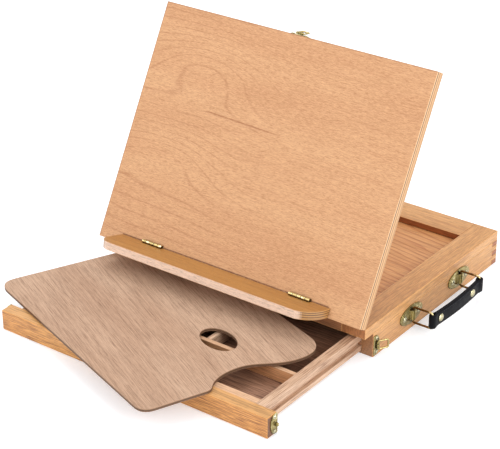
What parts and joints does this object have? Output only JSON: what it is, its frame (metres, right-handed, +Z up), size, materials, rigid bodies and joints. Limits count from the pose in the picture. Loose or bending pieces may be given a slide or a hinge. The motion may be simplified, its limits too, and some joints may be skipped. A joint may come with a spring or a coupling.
{
  "type": "tabletop box easel",
  "caption": "Tabletop box easel: flat wooden case with pull-out drawer, tilting drawing board on a strut, folding ledge, loose palette, brass hasps and leather carrying handle.",
  "frame": {"origin": "middle of the case's flat underside", "axes": "+X along the board's hinge line towards the handle, +Y from the drawer front to the back of the case, +Z up"},
  "size_m": [0.4053, 0.4952, 0.2774],
  "materials": {
    "beech": "clear-lacquered beech, warm orange tan, fine pores along the grain",
    "pale_wood": "plain sanded pale wood, slightly pink",
    "pine": "softwood board with dark growth rings",
    "dark_ply": "thin brown plywood",
    "board_ply": "salmon-tan veneered plywood, layered edges",
    "ledge_wood": "lacquered plywood, orange brown face and pale edge",
    "palette_ply": "grey-brown thin plywood, coarse open grain",
    "brass": "brass-plated stamped steel",
    "dark_brass": "dark brass-plated wire",
    "steel": "bright steel rod",
    "leather": "black stitched leather, satin"
  },
  "bodies": {
    "case": {"side_panel_left": "beech", "side_panel_right": "beech", "back_panel": "beech", "bottom_panel": "dark_ply", "top_rail_front": "beech", "top_rail_back": "beech", "top_rail_left": "beech", "top_rail_right": "beech", "tray_floor": "pine", "ratchet_strip_left": "beech", "ratchet_strip_right": "beech", "drawer_runner_left": "pale_wood", "drawer_runner_right": "pale_wood", "board_hinge_case_leaf_left": "brass", "board_hinge_case_leaf_right": "brass", "board_hinge_pin_left": "brass", "board_hinge_pin_right": "brass", "hasp_plate_left": "brass", "hasp_plate_right": "brass", "lid_catch": "brass", "handle_plate_front": "brass", "handle_plate_rear": "brass"},
    "board": {"easel_board": "board_ply", "board_hinge_board_leaf_left": "brass", "board_hinge_board_leaf_right": "brass", "ledge_hinge_board_leaf_left": "brass", "ledge_hinge_board_leaf_right": "brass", "ledge_hinge_pin_left": "brass", "ledge_hinge_pin_right": "brass", "strut_bracket_left": "brass", "strut_bracket_right": "brass", "lid_hasp_plate": "brass"},
    "strut": {"strut_leg_left": "beech", "strut_leg_right": "beech", "strut_crossbar": "beech", "strut_foot_rod": "steel"},
    "ledge": {"ledge": "ledge_wood", "ledge_hinge_ledge_leaf_left": "brass", "ledge_hinge_ledge_leaf_right": "brass"},
    "drawer": {"drawer_front": "beech", "drawer_inner_wall": "pale_wood", "drawer_back": "pale_wood", "drawer_floor": "dark_ply", "drawer_divider_long": "pale_wood", "drawer_divider_short_left": "pale_wood", "drawer_divider_short_right": "pale_wood", "drawer_side_left": "pale_wood", "drawer_side_right": "pale_wood", "drawer_catch_left": "brass", "drawer_catch_right": "brass"},
    "palette": {"palette": "palette_ply"},
    "hasp_left": {"hasp_loop_left": "brass"},
    "hasp_right": {"hasp_loop_right": "brass"},
    "lid_hasp": {"lid_hasp_loop": "brass"},
    "handle_front": {"handle_loop_front": "dark_brass"},
    "handle_rear": {"handle_loop_rear": "dark_brass"},
    "grip": {"handle_grip": "leather", "grip_rivet_front": "brass", "grip_rivet_rear": "brass"}
  },
  "joints": [
    {"name": "board_tilt", "type": "hinge", "parent": "case", "child": "board", "pos_m": [0, -0.1325, 0.039], "axis": [1, 0, 0], "range_deg": [-61, 14]},
    {"name": "strut_fold", "type": "hinge", "parent": "board", "child": "strut", "pos_m": [0, -0.07591, 0.13449], "axis": [1, 0, 0], "range_deg": [-28, 122]},
    {"name": "ledge_fold", "type": "hinge", "parent": "board", "child": "ledge", "pos_m": [-0.0015, -0.13985, 0.05565], "axis": [1, 0, 0], "range_deg": [-111, 0]},
    {"name": "drawer_slide", "type": "slide", "parent": "case", "child": "drawer", "axis": [0, -1, 0], "range_m": [-0.165, 0.02]},
    {"name": "palette_slide", "type": "slide", "parent": "case", "child": "palette", "axis": [0, -1, 0], "range_m": [0, 0.25]},
    {"name": "handle_front_swing", "type": "hinge", "parent": "case", "child": "handle_front", "pos_m": [0.1728, -0.0465, 0.01775], "axis": [0, 0, 1], "range_deg": [-65, 65]},
    {"name": "handle_rear_swing", "type": "hinge", "parent": "case", "child": "handle_rear", "pos_m": [0.1728, 0.049, 0.01775], "axis": [0, 0, 1], "range_deg": [-65, 65]},
    {"name": "grip_swing", "type": "hinge", "parent": "handle_front", "child": "grip", "pos_m": [0.196, -0.0465, 0.01775], "axis": [0, 0, 1], "range_deg": [-65, 65]},
    {"name": "hasp_left_flip", "type": "hinge", "parent": "case", "child": "hasp_left", "pos_m": [-0.1723, -0.112, 0.013], "axis": [0, 0, 1], "range_deg": [-28, 148]},
    {"name": "hasp_right_flip", "type": "hinge", "parent": "case", "child": "hasp_right", "pos_m": [0.1723, -0.112, 0.013], "axis": [0, 0, 1], "range_deg": [-148, 28]},
    {"name": "lid_hasp_flip", "type": "hinge", "parent": "board", "child": "lid_hasp", "pos_m": [0, -0.00798, 0.2756], "axis": [1, 0, 0], "range_deg": [-18, 158]}
  ],
  "couplings": [
    {"joint": "strut_fold", "follows": "board_tilt", "ratio": -2},
    {"joint": "handle_rear_swing", "follows": "handle_front_swing", "ratio": 1},
    {"joint": "grip_swing", "follows": "handle_front_swing", "ratio": -1}
  ]
}
